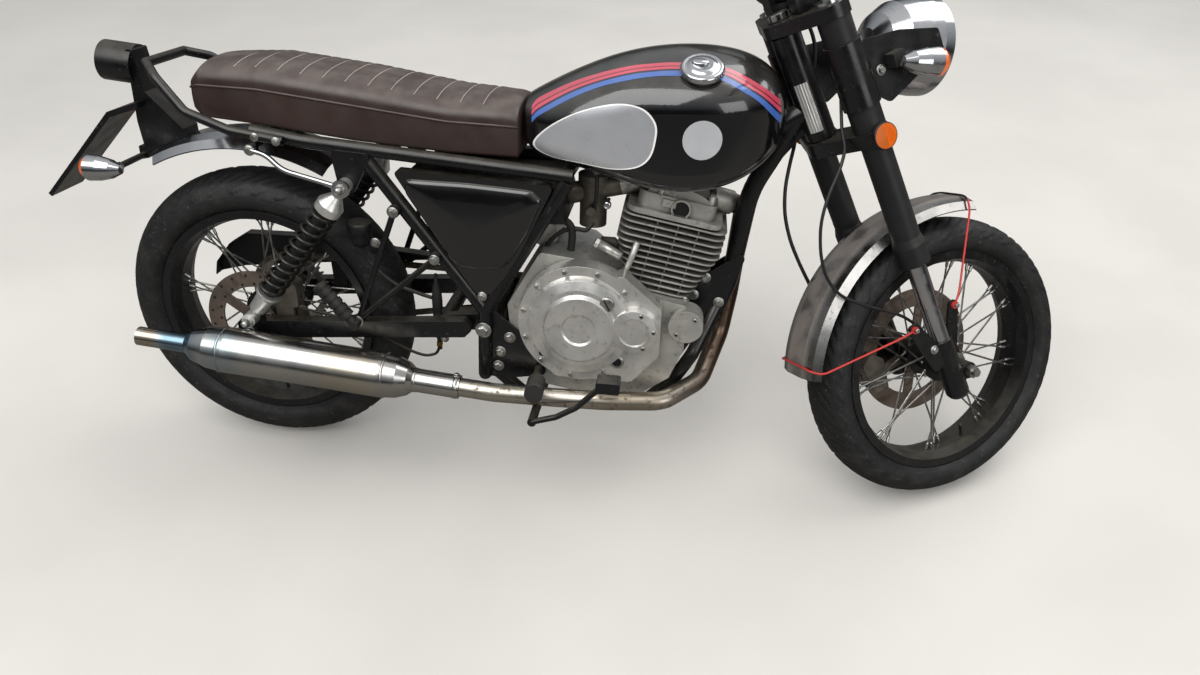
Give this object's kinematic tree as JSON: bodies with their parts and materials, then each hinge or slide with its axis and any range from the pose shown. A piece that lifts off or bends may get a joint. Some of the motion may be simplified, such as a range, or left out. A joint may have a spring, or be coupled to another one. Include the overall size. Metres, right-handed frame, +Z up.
{
  "type": "cafe racer motorcycle",
  "caption": "Parked cafe racer motorcycle with a teardrop tank, flat seat, open engine, wire wheels and silencer on the right, leaning on its side stand.",
  "frame": {"origin": "on the floor, under the middle of the parked machine's box", "axes": "+X forward along the machine, +Y to its left, +Z up; it leans to the left on its stand"},
  "size_m": [2.1134, 0.7307, 1.1753],
  "materials": {
    "black_paint": "satin black enamel",
    "matt_black": "matt black paint, dusty",
    "tank_paint": "gloss dark tank paint",
    "panel_paint": "gloss dark panel paint",
    "chrome": "polished chrome",
    "pipe": "heated chrome, brown at the front",
    "steel": "plain steel",
    "disc_steel": "brake disc steel, browned",
    "alloy": "cast alloy, dulled",
    "red_wire": "red coated wire",
    "cable_black": "black sheath",
    "black_plastic": "matt black plastic",
    "seat_cover": "black vinyl, soft",
    "grip_rubber": "black rubber",
    "tyre_rubber": "black tyre rubber",
    "red_lens": "red and amber lenses",
    "amber_lens": "amber lenses",
    "clear_glass": "clear lamp glass"
  },
  "bodies": {
    "frame": {"main_frame": "black_paint", "peg_struts": "black_paint", "foot_pegs": "grip_rubber", "swingarm": "black_paint", "shock_bodies": "alloy", "shock_springs": "black_paint", "shock_stays": "chrome", "chain_cover": "matt_black", "rear_caliper": "alloy", "engine_cases": "alloy", "clutch_cover": "alloy", "left_covers": "alloy", "cylinder": "alloy", "cylinder_head": "alloy", "carburettor": "alloy", "airbox": "black_plastic", "exhaust_pipe": "pipe", "muffler": "chrome", "fuel_tank": "tank_paint", "seat": "seat_cover", "side_panels": "panel_paint", "grab_rail": "black_paint", "rear_fender": "chrome", "tail_lamp": "black_paint", "rear_signals": "chrome", "rear_lenses": "red_lens", "foot_controls": "black_paint", "chain": "steel"},
    "steering": {"top_yoke": "black_paint", "lower_yoke": "black_paint", "fork_tubes": "chrome", "fork_covers": "matt_black", "fork_sliders": "black_paint", "front_axle": "steel", "handlebar": "black_paint", "grips": "grip_rubber", "levers": "black_plastic", "headlight_shell": "chrome", "headlight_lens": "clear_glass", "headlight_brackets": "black_paint", "front_signals": "chrome", "amber_lenses": "amber_lens", "instrument": "black_plastic", "front_fender": "chrome", "front_caliper": "alloy", "cables": "cable_black", "red_wires": "red_wire"},
    "rear_wheel": {"rear_tyre": "tyre_rubber", "rear_rim": "black_paint", "rear_spokes": "steel", "rear_hub": "black_paint", "rear_brake_disc": "disc_steel", "rear_sprocket": "steel"},
    "front_wheel": {"front_tyre": "tyre_rubber", "front_rim": "black_paint", "front_spokes": "steel", "front_hub": "black_paint", "front_brake_disc": "disc_steel"},
    "side_stand": {"side_stand": "black_paint"},
    "filler_cap": {"filler_cap": "chrome"}
  },
  "joints": [
    {"name": "steering_turn", "type": "hinge", "parent": "frame", "child": "steering", "pos_m": [0.44168, -0.01249, 0.81981], "axis": [-0.452, 0.1472, 0.8798], "range_deg": [-59.2, 0]},
    {"name": "front_wheel_spin", "type": "hinge", "parent": "steering", "child": "front_wheel", "pos_m": [0.78556, -0.06785, 0.27829], "axis": [-0.4406, 0.8207, -0.3637], "continuous": true},
    {"name": "rear_wheel_spin", "type": "hinge", "parent": "frame", "child": "rear_wheel", "pos_m": [-0.62621, -0.09863, 0.30508], "axis": [0, 0.9863, -0.165], "continuous": true},
    {"name": "side_stand_fold", "type": "hinge", "parent": "frame", "child": "side_stand", "pos_m": [-0.15642, 0.01012, 0.19152], "axis": [0.0881, 0.7099, 0.6987], "range_deg": [0, 99.46]},
    {"name": "filler_cap_lift", "type": "slide", "parent": "frame", "child": "filler_cap", "axis": [0.002, -0.284, 0.9588], "range_m": [0, 0.06]}
  ]
}
